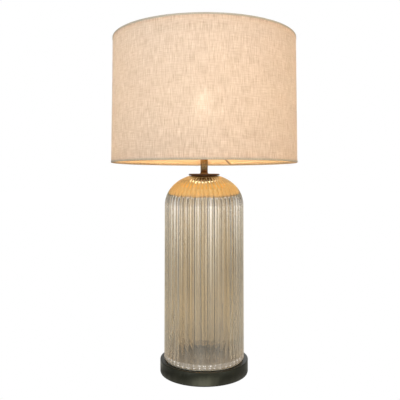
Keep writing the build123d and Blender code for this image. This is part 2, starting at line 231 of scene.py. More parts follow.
class Paint(Nodes):
    """A procedural material: a Principled shader and the nodes that vary it."""

    def __init__(self, name):
        self.mat = bpy.data.materials.new(name)
        self.mat.use_nodes = True
        super().__init__(self.mat.node_tree)
        self.principled = self.tree.nodes["Principled BSDF"]
        self.base = self.principled.outputs["BSDF"]
        self.out = self.tree.nodes["Material Output"]

    def set(self, **values):
        """Numbers, colours and links on the Principled shader's own sockets."""
        for key, value in values.items():
            self.feed(self.principled.inputs[key.replace("_", " ")], value)
        return self

    def place(self, kind="Object", stretch=(1, 1, 1)):
        """Coordinates in metres, times stretch."""
        where = self.node("TexCoord").outputs[kind]
        return self.shader("Mapping", Vector=where, Scale=stretch)

    def noise(self, scale=1.0, stretch=(1, 1, 1), detail=3.0, roughness=0.55, kind="Object"):
        node = self.node("TexNoise")
        node.inputs["Scale"].default_value = scale
        node.inputs["Detail"].default_value = detail
        node.inputs["Roughness"].default_value = roughness
        self.feed(node.inputs["Vector"], self.place(kind, stretch))
        return node.outputs["Fac"]

    def height(self):
        node = self.node("SeparateXYZ")
        self.feed(node.inputs["Vector"], self.place())
        return node.outputs["Z"]

    def fit(self, value, low, high, to_low=0.0, to_high=1.0):
        """The value from low to high brought to the range from to_low to to_high, and held there."""
        node = self.node("MapRange")
        for key, number in (("From Min", low), ("From Max", high), ("To Min", to_low), ("To Max", to_high)):
            node.inputs[key].default_value = number
        self.feed(node.inputs["Value"], value)
        return node.outputs["Result"]

    def bump(self, relief, distance, strength=1.0):
        normal = self.shader("Bump", Height=relief, Distance=distance, Strength=strength)
        self.set(Normal=normal)
        return normal

    def blend(self, share, first, second):
        """Two shaders mixed: share is the second one's part."""
        mix = self.node("MixShader")
        self.feed(mix.inputs["Fac"], share)
        self.feed(mix.inputs[1], first)
        self.feed(mix.inputs[2], second)
        return mix.outputs["Shader"]

    def finish(self, surface, tint, shadow_only=False):
        """The material of a closed skin whose shadow lets tinted light on, and so does its back face
        unless shadow_only."""
        passes = self.node("LightPath").outputs["Is Shadow Ray"]
        if not shadow_only:
            passes = self.larger(passes, self.node("NewGeometry").outputs["Backfacing"])
        skin = self.blend(passes, surface, self.shader("BsdfTransparent", Color=tint))
        self.feed(self.out.inputs["Surface"], skin)
        return self.mat


# the stretches of a noise's values, low and high, over which colour and roughness wander
COLOUR_SPREAD = (0.35, 0.65)
NOISE_SPREAD = (0.3, 0.7)


def mixed(name, first, second, scale, rough, grain=None, **values):
    """Colour and roughness wander between two values. grain is (scale, squash in z, depth) of the bump."""
    paint = Paint(name).set(**values)
    cloud = paint.noise(scale)
    colour = paint.between(paint.fit(cloud, *COLOUR_SPREAD), first, second)
    paint.set(Base_Color=colour, Roughness=paint.fit(cloud, *NOISE_SPREAD, *rough))
    if grain:
        size, squash, depth = grain
        paint.bump(paint.noise(size, (1, 1, squash), detail=4.0), depth)
    return paint.mat


# ---- cloth and liner ----------------------------------------------------------------------------
# how often each pattern of the weave repeats in a metre, round and up the shade
WARP = (900, 60, 1)
WEFT = (55, 800, 1)
UPRIGHT_SLUBS = (430, 42, 1)
LEVEL_SLUBS = (24, 380, 1)
CLOUDS = (26, 34, 1)
MOTTLE = (60, 60, 1)
# the stretches of each noise's values that make thread and slub
THREAD_SPREAD = (0.33, 0.67)
UPRIGHT_SLUB_SPREAD = (0.48, 0.70)
LEVEL_SLUB_SPREAD = (0.56, 0.76)
# parts of each pattern in the thickness of the cloth
WARP_SHARE = 0.62
WEFT_SHARE = 0.38
LEVEL_SLUB_SHARE = 0.45
THREAD_SHARE = 0.78
SLUB_SHARE = 0.29
CLOUD_SHARE = 0.06
WEAVE_RELIEF = 0.00035
# colours of the light that comes through thin and thick threads, and into the shadows of cloth and bulb,
# and of the liner
GLOW_THIN = (0.90, 0.875, 0.90)
GLOW_THICK = (0.46, 0.405, 0.36)
PALE_SHADOW = (0.97, 0.95, 0.92)
LINER_SHADOW = (0.93, 0.90, 0.83)
LINEN_GLOW = 0.37
LINER_GLOW = 0.41
LINER_SEE_BULB = 0.17


def linen(name, thread_light, thread_dark, see_bulb, glow_share=LINEN_GLOW):
    """Slubby plain weave on UVs in metres. Thick threads are darker when lit from behind."""
    paint = Paint(name).set(Roughness=0.92, Sheen_Weight=0.03, Sheen_Roughness=0.5)
    warp, weft = (paint.noise(1.0, threads, 2.0, 0.5, "UV") for threads in (WARP, WEFT))
    upright, level, cloud = (paint.noise(1.0, often, 3.0, 0.6, "UV")
                             for often in (UPRIGHT_SLUBS, LEVEL_SLUBS, CLOUDS))
    threads = paint.plus(paint.times(warp, WARP_SHARE), paint.times(weft, WEFT_SHARE))
    level = paint.times(paint.fit(level, *LEVEL_SLUB_SPREAD), LEVEL_SLUB_SHARE)
    slubs = paint.plus(paint.fit(upright, *UPRIGHT_SLUB_SPREAD), level)
    thick = paint.plus(paint.fit(threads, *THREAD_SPREAD, 0.0, THREAD_SHARE), paint.times(slubs, SLUB_SHARE))
    thick = paint.plus(thick, paint.fit(cloud, *NOISE_SPREAD, -CLOUD_SHARE, CLOUD_SHARE))
    paint.set(Base_Color=paint.between(thick, thread_light, thread_dark))
    normal = paint.bump(thick, WEAVE_RELIEF, strength=0.8)
    glow = paint.shader("BsdfTranslucent", Color=paint.between(thick, GLOW_THIN, GLOW_THICK), Normal=normal)
    gaps = paint.shader("BsdfTransparent", Color=(1.0, 0.97, 0.92))
    cloth = paint.blend(see_bulb, paint.blend(glow_share, paint.base, glow), gaps)
    return paint.finish(cloth, PALE_SHADOW)


def liner_sheet():
    """Translucent styrene, faintly mottled. Its orange base colour is painted light: the bulb's warm glow on
    a pale sheet.
    """
    paint = Paint("liner").set(Roughness=0.45)
    mottle = paint.fit(paint.noise(1.0, MOTTLE, kind="UV"), *NOISE_SPREAD)
    # painted light: the orange stands for the bulb's warm light on the sheet, because the bulb itself glows
    # near white
    paint.set(Base_Color=paint.between(mottle, (0.92, 0.60, 0.225), (0.88, 0.55, 0.19)))
    glow = paint.shader("BsdfTranslucent", Color=(0.96, 0.93, 0.87))
    sheet = paint.blend(LINER_GLOW, paint.base, glow)
    sheet = paint.blend(LINER_SEE_BULB, sheet, paint.shader("BsdfTransparent"))
    return paint.finish(sheet, LINER_SHADOW)


# ---- glass --------------------------------------------------------------------------------------
CHAMPAGNE = (0.88, 0.77, 0.59)
GLASS_SHADOW = (0.93, 0.89, 0.82)
WAVES = (30, 30, 9)
STREAKS = (115, 115, 5)
STREAK_SHARE = 0.8
GLASS_RELIEF = 0.0011
LUSTRE_PATCHES = (75, 75, 3)
PATCH_SPREAD = (0.36, 0.64)
# heights in metres between which the glass's look changes
DOME_BEGINS = (0.333, 0.341)
FOOT_LUSTRE_ENDS = (0.0355, 0.038)
CROWN_LUSTRE_FADES = (0.356, 0.364)
FOOT_HAZE_ENDS = (0.030, 0.070)
# parts of the lustre in the surface, and of the haze
WALL_LUSTRE = 0.28
WALL_LUSTRE_LOW = 0.65 * WALL_LUSTRE
WALL_LUSTRE_HIGH = 1.45 * WALL_LUSTRE
DOME_LUSTRE = 0.76
FOOT_LUSTRE = 0.36
CROWN_LUSTRE_LOSS = 0.40
FOOT_HAZE = 0.20


def moulded_glass(name, roughness):
    """Thick champagne glass with faint moulding waves, as its paint and the waves' normal."""
    paint = Paint(name).set(Base_Color=CHAMPAGNE, Roughness=roughness, IOR=1.5, Transmission_Weight=1.0)
    waves = paint.noise(1.0, WAVES, 2.0)
    streaks = paint.noise(1.0, STREAKS, 1.0)
    relief = paint.plus(paint.times(waves, 1 - STREAK_SHARE), paint.times(streaks, STREAK_SHARE))
    return paint, paint.bump(relief, GLASS_RELIEF)


def plain_glass(name, roughness):
    paint, _ = moulded_glass(name, roughness)
    return paint.finish(paint.base, GLASS_SHADOW, shadow_only=True)


def lustred_glass(name, roughness):
    """Glass with a thin patchy lustre, amber on the dome and hazy at the foot."""
    paint, normal = moulded_glass(name, roughness)
    z = paint.height()
    on_dome = paint.fit(z, *DOME_BEGINS)
    patches = paint.noise(1.0, LUSTRE_PATCHES, 1.0)
    wall_share = paint.fit(patches, *PATCH_SPREAD, WALL_LUSTRE_LOW, WALL_LUSTRE_HIGH)
    share = paint.plus(paint.times(wall_share, paint.minus(1.0, on_dome)), paint.times(on_dome, DOME_LUSTRE))
    share = paint.plus(share, paint.fit(z, *FOOT_LUSTRE_ENDS, FOOT_LUSTRE, 0.0))
    share = paint.minus(share, paint.fit(z, *CROWN_LUSTRE_FADES, 0.0, CROWN_LUSTRE_LOSS))
    colour = paint.between(on_dome, (1.0, 0.97, 0.93), (1.0, 0.88, 0.58))
    lustre = paint.shader("BsdfGlossy", Color=colour, Roughness=0.05, Normal=normal)
    surface = paint.blend(share, paint.base, lustre)
    haze = paint.shader("BsdfDiffuse", Color=(0.80, 0.66, 0.48))
    surface = paint.blend(paint.fit(z, *FOOT_HAZE_ENDS, FOOT_HAZE, 0.0), surface, haze)
    return paint.finish(surface, GLASS_SHADOW, shadow_only=True)


# ---- bulb ---------------------------------------------------------------------------------------
# strengths of the light thrown, of the light seen through the cloth and of the light seen straight
ENVELOPE_GLOWS = (4.7, 5.5, 0.10)
BURNER_GLOWS = (265.0, 120.0, 1.2)
# a ray that has passed more see-through faces than this has come through the cloth
CLOTH_FACES = 2.5
FROST_SHARE = 0.35


def lit(paint, glows):
    """Emission strength that throws full light, and is dimmer to the eye so that the bulb's shape shows."""
    thrown, through_cloth, bare = glows
    path = paint.node("LightPath").outputs
    bounced = paint.plus(path["Diffuse Depth"], path["Glossy Depth"])
    straight = paint.larger(path["Is Camera Ray"], path["Is Transmission Ray"])
    seen = paint.times(straight, paint.maths("LESS_THAN", bounced, 0.5))
    uncovered = paint.times(seen, paint.maths("LESS_THAN", path["Transparent Depth"], CLOTH_FACES))
    strength = paint.times(paint.fit(seen, 0.0, 1.0, thrown, through_cloth),
                           paint.fit(uncovered, 0.0, 1.0, 1.0, bare / through_cloth))
    paint.set(Emission_Strength=strength)


def bulb_glass():
    """Frosted envelope that glows by itself and blurs the brighter burner."""
    paint = Paint("opal_glass")
    paint.set(Base_Color=(0.60, 0.57, 0.50), Roughness=0.35, Emission_Color=(1.0, 0.94, 0.84))
    lit(paint, ENVELOPE_GLOWS)
    frost = paint.shader("BsdfRefraction", Roughness=0.75, IOR=1.45)
    return paint.finish(paint.blend(FROST_SHARE, paint.base, frost), PALE_SHADOW)


def lit_quartz():
    paint = Paint("quartz").set(Base_Color=(1.0, 0.95, 0.85), Roughness=0.1, Emission_Color=(1.0, 0.95, 0.86))
    lit(paint, BURNER_GLOWS)
    return paint.mat


# ---- materials ----------------------------------------------------------------------------------
BRONZE = mixed("bronze", (0.029, 0.031, 0.022), (0.047, 0.049, 0.035), 22, (0.30, 0.42),
               (260, 14, 0.00003), Metallic=0.85, Coat_Weight=0.25, Coat_Roughness=0.25)
ANTIQUE = mixed("antique_brass", (0.40, 0.26, 0.125), (0.30, 0.195, 0.09), 60, (0.18, 0.3),
                (500, 6, 0.00002), Metallic=1.0)
UMBER = mixed("umber_brass", (0.15, 0.085, 0.048), (0.10, 0.055, 0.032), 70, (0.28, 0.42),
              (500, 6, 0.00002), Metallic=1.0)
STEEL = mixed("steel", (0.55, 0.56, 0.58), (0.44, 0.46, 0.49), 140, (0.22, 0.4),
              (900, 4, 0.00001), Metallic=1.0)
ZINC = mixed("zinc", (0.20, 0.225, 0.26), (0.14, 0.16, 0.19), 140, (0.3, 0.45),
             (900, 4, 0.00001), Metallic=1.0)
BRASS = mixed("brass", (0.78, 0.58, 0.28), (0.66, 0.47, 0.20), 120, (0.18, 0.34), Metallic=1.0)
SHELL = mixed("bulb_shell", (0.80, 0.79, 0.77), (0.70, 0.69, 0.67), 150, (0.2, 0.38), Metallic=1.0)
IRON = mixed("iron", (0.09, 0.09, 0.09), (0.14, 0.13, 0.12), 90, (0.6, 0.8),
             (420, 1, 0.0003), Metallic=0.7)
FELT = mixed("felt", (0.012, 0.012, 0.012), (0.03, 0.03, 0.03), 300, (0.95, 1.0),
             (1600, 1, 0.0003), Sheen_Weight=0.3)
RUBBER = mixed("rubber", (0.018, 0.018, 0.018), (0.03, 0.03, 0.03), 80, (0.5, 0.65), (700, 1, 0.00004))
SEAL = mixed("clear_rubber", (0.86, 0.84, 0.74), (0.76, 0.74, 0.64), 80, (0.35, 0.5),
             Transmission_Weight=0.35)
PHENOLIC = mixed("holder_plastic", (0.020, 0.020, 0.021), (0.032, 0.031, 0.030), 90, (0.32, 0.45),
                 (600, 1, 0.00003))
PORCELAIN = mixed("porcelain", (0.86, 0.85, 0.81), (0.80, 0.78, 0.73), 110, (0.5, 0.62), (500, 1, 0.00005))
BLACK_GLASS = mixed("black_glass", (0.010, 0.010, 0.012), (0.02, 0.02, 0.022), 90, (0.08, 0.16))
WIRE = mixed("frame_wire", (0.86, 0.66, 0.38), (0.78, 0.58, 0.32), 90, (0.4, 0.55),
             (800, 1, 0.00002), Metallic=0.05)
LINEN = linen("linen", (0.70, 0.66, 0.63), (0.42, 0.375, 0.34), 0.065)
HEM_LINEN = linen("tape", (0.56, 0.545, 0.48), (0.37, 0.355, 0.31), 0.0, 0.06)
# painted light: the tape's inside fold gets a warmer, brighter copy of the tape for the bulb's light on it
HEM_PAINTED_GLOW = linen("tape_painted_glow", (0.76, 0.56, 0.33), (0.62, 0.44, 0.24), 0.0, 0.10)
LINER = liner_sheet()
GLASS_OUTSIDE = lustred_glass("glass", 0.02)
GLASS_INSIDE = plain_glass("glass_inside", 0.02)
GLASS_GROUND = plain_glass("glass_ground", 0.5)
OPAL = bulb_glass()
STEM_GLASS = mixed("stem_glass", (0.95, 0.95, 0.93), (0.88, 0.88, 0.86), 90, (0.05, 0.12),
                   Transmission_Weight=0.8)
QUARTZ = lit_quartz()

# ---- glass body ---------------------------------------------------------------------------------
REEDS = 48
REED_STEPS = 12
REED_DEPTH = 2.3
REED_HALF_ANGLE = math.radians(52)
# the reeds fade out over this width round the crown
REED_FADE = 4.0
# at the foot the reeds run out in equal steps, which start at these heights and are bowed by SCALLOP
RUN_OUT_STARTS = (1.8, 6.4)
RUN_OUT_LENGTH = 2.0
SCALLOP = 1.6
WALL = 5.6
# the foot is this much wider than the shoulder, outside and inside
FOOT_FLARE = 1.5
SHOULDER_Z = 318.0
CROWN_R = 28.5
# (way out, drop) of the crown's edge
CROWN_EDGE = ((0.5, 0.25), (-0.3, 0.0))
CROWN_THICKNESS = 5.5
CEILING_R = 26.0
CROWN_HOLE_R = 13.0
HOLE_EDGE = 0.6
DOME_POWER = 2.1
DOME_ROWS = 26
DOME_ROWS_INSIDE = 24
WALL_ROWS = 14
FOOT_ROWS = 20
FOOT_ROW = 0.5
# (inset, height) of the foot's rounded edge outside, and (way out, height) inside
FOOT_EDGE = ((2.2, 0.0), (1.1, 0.35), (0.3, 1.2))
FOOT_EDGE_TOP = 2.0
FOOT_EDGE_INSIDE = ((1.9, 0.7), (2.7, 0.0))
# the inner face follows the reeds faintly, from nothing at the first radius to its most at the second
INNER_SWELL = 0.35
SWELL_RADII = (30.0, 60.0)


def reed_share(turn):
    """1 on a reed's crest, 0 in the valley: a circular arc between valleys."""
    across = (turn * REEDS / TAU) % 1 * 2 - 1
    lowest = math.cos(REED_HALF_ANGLE)
    return (math.cos(across * REED_HALF_ANGLE) - lowest) / (1 - lowest)


def dome(shoulder_r, crown_r, crown_z, rows):
    """(radius, height) over the shoulder up to the crown's edge."""
    share = crown_r / shoulder_r
    rise = (crown_z - SHOULDER_Z) / (1 - share**DOME_POWER) ** (1 / DOME_POWER)
    end = math.acos(share ** (DOME_POWER / 2))
    points = []
    for row in range(rows + 1):
        a = end * row / rows
        r = shoulder_r * math.cos(a) ** (2 / DOME_POWER)
        points.append((r, SHOULDER_Z + rise * math.sin(a) ** (2 / DOME_POWER)))
    return points


def slope(start, end, rows):
    """(radius, height) in even rows from start to end, both included."""
    (r, z), (end_r, end_z) = start, end
    return [(r + (end_r - r) * row / rows, z + (end_z - z) * row / rows) for row in range(rows + 1)]


def glass_outlines():
    """(radius, height) up the outside, down the hole and down the inside."""
    foot_r, foot_z, crown_z = span("glass_body")
    shoulder_r = foot_r - FOOT_FLARE
    flute_z = foot_z + FOOT_EDGE_TOP
    wall_z = flute_z + FOOT_ROW * FOOT_ROWS
    outer = [(foot_r - inset, foot_z + lift) for inset, lift in FOOT_EDGE]
    outer += [(foot_r, flute_z + FOOT_ROW * row) for row in range(FOOT_ROWS)]
    outer += slope((foot_r, wall_z), (shoulder_r, SHOULDER_Z), WALL_ROWS)
    outer += dome(shoulder_r, CROWN_R, crown_z, DOME_ROWS)[1:-1]
    outer += [(CROWN_R + out, crown_z - drop) for out, drop in CROWN_EDGE]
    outer.append((CROWN_HOLE_R + HOLE_EDGE, crown_z))
    ceiling_z = crown_z - CROWN_THICKNESS
    hole = [(CROWN_HOLE_R, crown_z - HOLE_EDGE), (CROWN_HOLE_R, ceiling_z + HOLE_EDGE),
            (CROWN_HOLE_R + HOLE_EDGE, ceiling_z)]
    inner_r = shoulder_r - WALL
    inner = dome(inner_r, CEILING_R, ceiling_z, DOME_ROWS_INSIDE)[::-1]
    inner += slope((inner_r, SHOULDER_Z), (inner_r + FOOT_FLARE, flute_z), WALL_ROWS)[1:]
    inner += [(inner_r + out, foot_z + lift) for out, lift in FOOT_EDGE_INSIDE]
    return outer, hole, inner


def reeded_ring(r, z, foot, turns, shares):
    """A ring of the outside, cut in between the reeds' crests."""
    foot_r, foot_z = foot
    depth = REED_DEPTH * (r / foot_r) * clamp((r - CROWN_R) / REED_FADE) ** 0.5
    ring = []
    for t, share in zip(turns, shares):
        rise = z - foot_z - SCALLOP * share
        steps = [clamp((rise - start) / RUN_OUT_LENGTH) for start in RUN_OUT_STARTS]
        here = r - depth * sum(steps) / len(steps) * (1 - share)
        ring.append((here * math.cos(t), here * math.sin(t), z))
    return ring


def swollen_ring(r, z, turns, shares):
    """A ring of the inside, which follows the reeds faintly."""
    low_r, high_r = SWELL_RADII
    swell = INNER_SWELL * clamp((r - low_r) / (high_r - low_r))
    return [((r + swell * (share - 0.5)) * math.cos(t), (r + swell * (share - 0.5)) * math.sin(t), z)
            for t, share in zip(turns, shares)]


def glass_piece():
    outer, hole, inner = glass_outlines()
    foot = span("glass_body")[:2]
    turns = steps_round(REEDS * REED_STEPS)
    shares = [reed_share(t) for t in turns]
    rings = [reeded_ring(r, z, foot, turns, shares) for r, z in outer]
    rings += [level_ring(r, z, turns) for r, z in hole]
    rings += [swollen_ring(r, z, turns, shares) for r, z in inner]
    piece = rings_mesh("glass_reeded", rings)
    outside, inside, ground = range(3)
    by_row = [outside] * (len(outer) - 1) + [inside] * (len(rings) - len(outer) + 1)
    for row in (0, len(outer) - 2, len(rings) - 1):
        by_row[row] = ground
    finish_piece(piece, (GLASS_OUTSIDE, GLASS_INSIDE, GLASS_GROUND), "glass", "lamp", "glass_body")
    paint_rows(piece, by_row, len(turns))


glass_piece()


# ---- threads ------------------------------------------------------------------------------------
def sharp_wave(phase):
    return abs(phase * 2 - 1)


def round_wave(phase):
    return 0.5 - 0.5 * math.cos(TAU * phase)


def threaded(name, node, pitch, depth, wave, bore_r, segments, rows_per_turn):
    """A tube in the node's place with a helical thread that fades out at its ends."""
    crest_r, low_z, high_z = span(node)
    rows = round((high_z - low_z) / pitch * rows_per_turn)
    turns = steps_round(segments)
    rings = []
    for row in range(rows + 1):
        z = low_z + (high_z - low_z) * row / rows
        fade = min(1.0, (z - low_z) / pitch, (high_z - z) / pitch)
        ring = []
        for t in turns:
            phase = ((z - low_z) / pitch - t / TAU) % 1
            r = crest_r - depth * (1 - wave(phase) * fade)
            ring.append((r * math.cos(t), r * math.sin(t), z))
        rings.append(ring)
    rings += [level_ring(bore_r, z, turns) for z in (high_z, low_z)]
    return rings_mesh(name, rings)


tube = threaded("threaded_tube_m10", "threaded_tube", pitch=1.5, depth=0.45, wave=sharp_wave, bore_r=3.6,
                segments=20, rows_per_turn=4)
finish_piece(tube, (ZINC,), "steel", "lamp", "threaded_tube")

# ---- shade --------------------------------------------------------------------------------------
SHADE_LOW_R, SHADE_LOW_Z, _ = span("bottom_trim")
_, _, SHADE_HIGH_Z = span("top_trim")
SHADE_HIGH_R = 170.7
SHADE_MID_R = (SHADE_LOW_R + SHADE_HIGH_R) / 2
SHADE_SEGMENTS = 288
SHADE_TURNS = steps_round(SHADE_SEGMENTS)
SHEET_ROWS = 24
LAP_ROWS = 12
LAP_FINENESS = 4
# (inset of its outer face, thickness, gap to the rims) of each sheet and lap
LINEN_LAYER = (0.5, 0.8, 0.5)
LINER_LAYER = (1.32, 0.46, 0.5)
LINEN_LAP_LAYER = (0.12, 0.4, 3.5)
LINER_LAP_LAYER = (1.80, 0.4, 5.4)
SEAM_TURN = math.radians(67.2)
LINEN_LAP_SWEEP = 0.052
LINER_LAP_SWEEP = 0.07


def shade_r(z):
    return SHADE_LOW_R + (SHADE_HIGH_R - SHADE_LOW_R) * (z - SHADE_LOW_Z) / (SHADE_HIGH_Z - SHADE_LOW_Z)


def ripple(turn, z):
    """Faint unevenness of the rolled sheet."""
    return 0.10 * math.sin(3 * turn + z / 70) + 0.06 * math.sin(7 * turn - z / 40 + 1.3)


def drum(name, layer, rows, start=0.0, sweep=TAU):
    """Closed skin of the drum's wall with UVs in metres, all round or over one stretch of it."""
    inset, thickness, rim_gap = layer
    whole = sweep == TAU
    columns = SHADE_SEGMENTS if whole else round(SHADE_SEGMENTS * sweep / TAU * LAP_FINENESS)
    count = columns if whole else columns + 1
    low_z, high_z = SHADE_LOW_Z + rim_gap, SHADE_HIGH_Z - rim_gap
    heights = [low_z + (high_z - low_z) * row / rows for row in range(rows + 1)]
    turns = [start + sweep * column / columns for column in range(columns + 1)]
    verts, faces, uvs = [], [], []
    for deep in (inset, inset + thickness):
        for z in heights:
            for turn in turns[:count]:
                r = shade_r(z) - deep + ripple(turn, z)
                verts.append((r * math.cos(turn), r * math.sin(turn), z))

    def quad(*corners):
        """A face from its (side, row, column) corners, where side 0 is outside and 1 is inside."""
        faces.append([(side * (rows + 1) + row) * count + column % count for side, row, column in corners])
        for _, row, column in corners:
            uvs.extend((turns[column] * SHADE_MID_R * MM, heights[row] * MM))

    for c in range(columns):
        for row in range(rows):
            quad((0, row, c), (0, row, c + 1), (0, row + 1, c + 1), (0, row + 1, c))
            quad((1, row, c), (1, row + 1, c), (1, row + 1, c + 1), (1, row, c + 1))
        quad((0, 0, c), (1, 0, c), (1, 0, c + 1), (0, 0, c + 1))
        quad((0, rows, c), (0, rows, c + 1), (1, rows, c + 1), (1, rows, c))
    if not whole:
        for row in range(rows):
            quad((0, row, 0), (0, row + 1, 0), (1, row + 1, 0), (1, row, 0))
            quad((0, row, columns), (1, row, columns), (1, row + 1, columns), (0, row + 1, columns))
    piece = add_mesh(name, verts, faces)
    piece.data.uv_layers.new(name="cloth").data.foreach_set("uv", uvs)
    sharpen(piece)
    return piece


def lap_piece(name, layer, sweep):
    """The strip where a sheet's two ends lie over each other."""
    return drum(name, layer, LAP_ROWS, SEAM_TURN - sweep / 2, sweep)


cover = drum("linen_cover", LINEN_LAYER, SHEET_ROWS)
finish_piece(cover, (LINEN,), "linen", "shade", "shade_cover")
liner = drum("liner_sheet", LINER_LAYER, SHEET_ROWS)
finish_piece(liner, (LINER,), "liner", "shade", "shade_liner")
lap = lap_piece("linen_lap", LINEN_LAP_LAYER, LINEN_LAP_SWEEP)
finish_piece(lap, (LINEN,), "linen", "shade")
finish_piece(lap_piece("liner_lap", LINER_LAP_LAYER, LINER_LAP_SWEEP), (LINER,), "liner", "shade")

# a hem's outer face from its outside edge, under the rim and round the wire: (inset, height over the rim)
HEM_PATH = ((0.0, 3.3), (0.0, 2.5), (0.0, 1.7), (0.0, 0.9), (0.12, 0.4), (0.4, 0.12), (0.9, 0.0), (1.9, 0.02),
            (2.9, 0.4), (3.8, 1.1), (4.5, 2.1), (4.86, 3.3), (4.84, 4.5), (4.4, 5.6), (3.6, 6.4), (2.75, 6.9),
            (2.35, 7.5), (2.3, 8.4))
TAPE_SKIN = 0.42
# deeper than these the tape is puckered, and has the inner colour, a warmer and brighter copy of the tape
# that paints the bulb's light on the inside fold
PUCKER_INSET = 2.5
LIT_INSET = 0.5
PUCKER = 0.05
PUCKERS = 41


def hem_skin():
    """The hem's section: its outer face, and back along its inner one."""
    path = [Vector(point) for point in HEM_PATH]
    back = []
    for i, point in enumerate(path):
        along = (path[min(i + 1, len(path) - 1)] - path[max(i - 1, 0)]).normalized()
        back.append(point + Vector((-along.y, along.x)) * TAPE_SKIN)
    return path + back[::-1]


def hem(name, node, rim_z, up):
    """Linen tape folded over the rim and round the wire ring. up is 1 at the lower rim, -1 at the upper."""
    skin = hem_skin()
    rings = []
    for deep, lift in skin:
        z = rim_z + lift * up
        ring = []
        for t in SHADE_TURNS:
            pucker = PUCKER * math.sin(PUCKERS * t + z) if deep > PUCKER_INSET else 0.0
            r = shade_r(z) - deep + min(0.0, ripple(t, z)) + pucker
            ring.append((r * math.cos(t), r * math.sin(t), z))
        rings.append(ring)
    # rows deeper than LIT_INSET take the copy of the tape with painted bulb light
    by_row = [int(min(here.x, after.x) > LIT_INSET) for here, after in zip(skin, skin[1:] + skin[:1])]
    if up > 0:
        rings = rings[::-1]
        by_row = by_row[-2::-1] + by_row[-1:]
    piece = rings_mesh(name, rings, cloth_r=SHADE_LOW_R)
    sharpen(piece, HEM_CRISP_DEGREES)
    finish_piece(piece, (HEM_LINEN, HEM_PAINTED_GLOW), "tape", "shade", node)
    paint_rows(piece, by_row, SHADE_SEGMENTS)
    return piece


bottom_hem = hem("bottom_hem", "bottom_trim", SHADE_LOW_Z, 1)
top_hem = hem("top_hem", "top_trim", SHADE_HIGH_Z, -1)

WIRE_R = 1.15
WIRE_INSET = 1.35
WIRE_STEPS = 16
WIRE_SEGMENTS = 192


def wire_ring(name, node):
    outer_r, low_z, high_z = span(node)
    centre_r, centre_z = outer_r - WIRE_INSET, (low_z + high_z) / 2
    half_height = min(WIRE_R, (high_z - low_z) / 2)
    outline = [(centre_r + WIRE_R * math.cos(-a), centre_z + half_height * math.sin(-a))
               for a in steps_round(WIRE_STEPS)]
    finish_piece(lathe(name, outline[::-1], WIRE_SEGMENTS), (WIRE,), "frame_wire", "shade", node)


wire_ring("bottom_wire", "bottom_ring")
wire_ring("top_wire", "top_ring")

# ---- bulb's shape -------------------------------------------------------------------------------
GLOBE_R = 30.0
GLOBE_ROWS = 26
GLOBE_START = math.radians(-38)
GLOBE_END = math.radians(89.5)
BULB_NECK_R = 12.6
BULB_NECK_HEIGHT = 4.0
FLARE_PULL = 9.0
FLARE_ROWS = 10
BULB_WALL = 0.9
BULB_SEGMENTS = 96


def bulb_outline(shrink):
    """From the cap up: neck, a smooth flare into the globe, and the top."""
    _, low_z, high_z = span("bulb_envelope")
    centre_z, globe_r, neck_r = high_z - GLOBE_R, GLOBE_R - shrink, BULB_NECK_R - shrink
    neck_z = low_z + BULB_NECK_HEIGHT
    start = Vector((neck_r, neck_z))
    end = Vector((globe_r * math.cos(GLOBE_START), centre_z + globe_r * math.sin(GLOBE_START)))
    along = Vector((-math.sin(GLOBE_START), math.cos(GLOBE_START)))
    a, b, c, d = start, start + Vector((0, FLARE_PULL)), end - along * FLARE_PULL, end
    points = [(neck_r, low_z), (neck_r, neck_z)]
    for row in range(1, FLARE_ROWS):
        t = row / FLARE_ROWS
        points.append(tuple(a * (1 - t) ** 3 + b * 3 * t * (1 - t) ** 2 + c * 3 * t * t * (1 - t) + d * t**3))
    for row in range(GLOBE_ROWS + 1):
        turn = GLOBE_START + (GLOBE_END - GLOBE_START) * row / GLOBE_ROWS
        points.append((globe_r * math.cos(turn), centre_z + globe_r * math.sin(turn)))
    return points


envelope = lathe("bulb_globe", bulb_outline(0) + bulb_outline(BULB_WALL)[::-1], BULB_SEGMENTS)
finish_piece(envelope, (OPAL,), "opal_glass", "bulb", "bulb_envelope")
screw = threaded("bulb_screw", "bulb_cap", pitch=3.62, depth=0.9, wave=round_wave, bore_r=11.0,
                 segments=BULB_SEGMENTS, rows_per_turn=12)
finish_piece(screw, (SHELL,), "bulb_shell", "bulb", "bulb_cap")

# ---- CAD nodes that keep their shape ------------------------------------------------------------
# the material and the bevel's width of each
KEPT = {
    "base_pad": (FELT, 0.3), "base_shell": (BRONZE, 0.5), "base_weight": (IRON, 0.8),
    "cord_grommet": (RUBBER, 0.35), "tube_washers": (STEEL, 0.2), "tube_nuts": (STEEL, 0.45),
    "glass_gasket": (SEAL, 0.2), "crown_bush": (RUBBER, 0.3), "crown_gasket": (RUBBER, 0.2),
    "cap_disc": (UMBER, 0.35), "neck_collar": (ANTIQUE, 0.4), "neck_tube": (ANTIQUE, 0.2),
    "holder_cap": (ANTIQUE, 0.5), "holder_grub_screw": (STEEL, 0.2), "holder_insert": (PORCELAIN, 0.4),
    "holder_skirt": (PHENOLIC, 0.3), "holder_contact": (BRASS, 0.3), "holder_side_contact": (BRASS, 0.1),
    "terminal_screws": (BRASS, 0.3), "shade_ring": (PHENOLIC, 0.5), "gimbal_ring": (WIRE, 0.3),
    "spider_arm_1": (WIRE, 0.35), "spider_arm_2": (WIRE, 0.35), "spider_arm_3": (WIRE, 0.35),
    "bulb_stem": (STEM_GLASS, 0.3), "bulb_supports": (STEEL, 0.1), "bulb_burner": (QUARTZ, 1.0),
    "bulb_insulator": (BLACK_GLASS, 0.5), "bulb_contact": (BRASS, 0.4),
}
for node, (material, width) in KEPT.items():
    dress(soften(node, width), material)

# ---- floor --------------------------------------------------------------------------------------
FLOOR_REACH = 3.0


